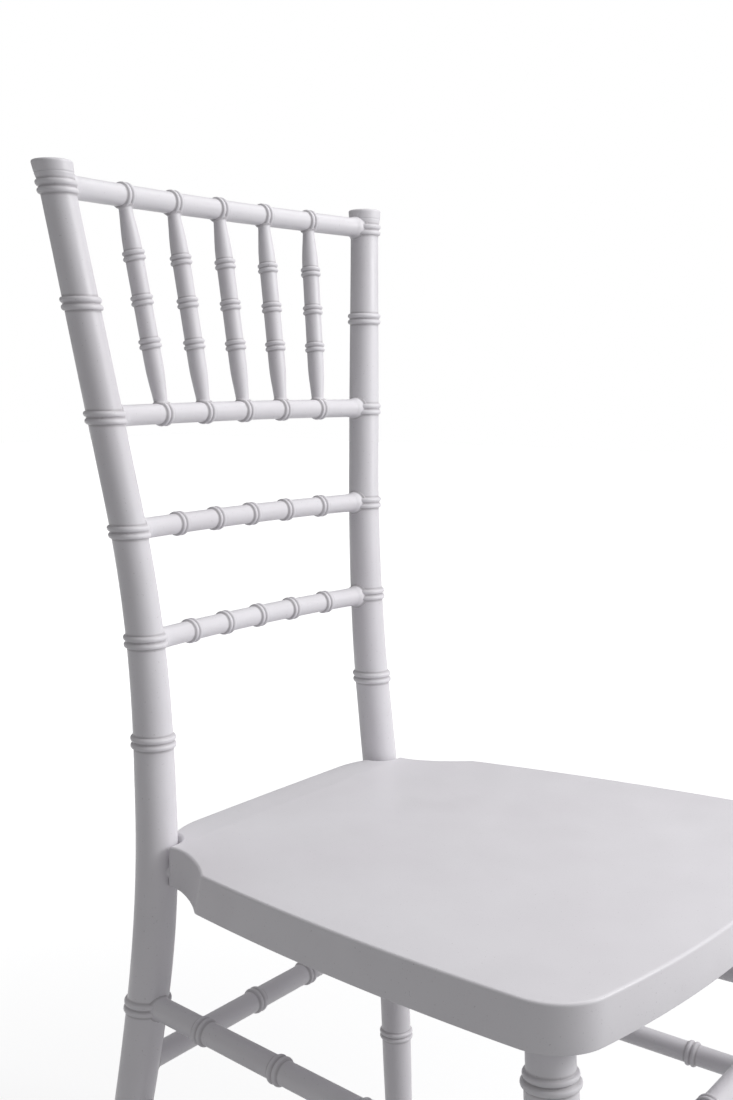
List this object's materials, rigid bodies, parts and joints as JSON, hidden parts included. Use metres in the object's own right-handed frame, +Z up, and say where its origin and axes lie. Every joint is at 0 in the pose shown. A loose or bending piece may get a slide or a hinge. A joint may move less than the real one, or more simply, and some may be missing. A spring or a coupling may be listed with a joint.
{
  "type": "chiavari chair",
  "caption": "White painted chiavari chair with turned ring-marked posts, a spindled splayed back and a flat wooden seat with scalloped rear corners.",
  "frame": {"origin": "on the floor, in the middle of the chair's footprint box", "axes": "+X across the chair to the sitter's left, -Y the way the chair faces, +Z up"},
  "size_m": [0.4346, 0.4646, 0.9306],
  "materials": {
    "painted_wood": "satin",
    "dowel_wood": "matte",
    "plated_steel": "satin",
    "glide_plastic": "matte"
  },
  "bodies": {
    "root": {"left_back_post": "painted_wood", "right_back_post": "painted_wood", "front_leg_left": "painted_wood", "front_leg_right": "painted_wood", "top_rail": "painted_wood", "spindle_rail": "painted_wood", "middle_rail": "painted_wood", "lower_rail": "painted_wood", "spindle_1": "painted_wood", "spindle_2": "painted_wood", "spindle_3": "painted_wood", "spindle_4": "painted_wood", "spindle_5": "painted_wood", "upper_side_stretcher_left": "painted_wood", "upper_side_stretcher_right": "painted_wood", "lower_side_stretcher_left": "painted_wood", "lower_side_stretcher_right": "painted_wood", "back_stretcher": "painted_wood", "front_stretcher": "painted_wood", "seat_panel": "painted_wood", "seat_back_rail": "painted_wood", "seat_front_rail": "painted_wood", "seat_side_rail_left": "painted_wood", "seat_side_rail_right": "painted_wood", "front_corner_block_left": "painted_wood", "front_corner_block_right": "painted_wood", "frame_dowels": "dowel_wood", "panel_screws": "plated_steel", "post_bolts": "plated_steel", "barrel_nuts": "plated_steel", "bolt_spacers": "painted_wood", "glide_front_left": "glide_plastic", "glide_front_right": "glide_plastic", "glide_back_left": "glide_plastic", "glide_back_right": "glide_plastic"}
  },
  "joints": []
}
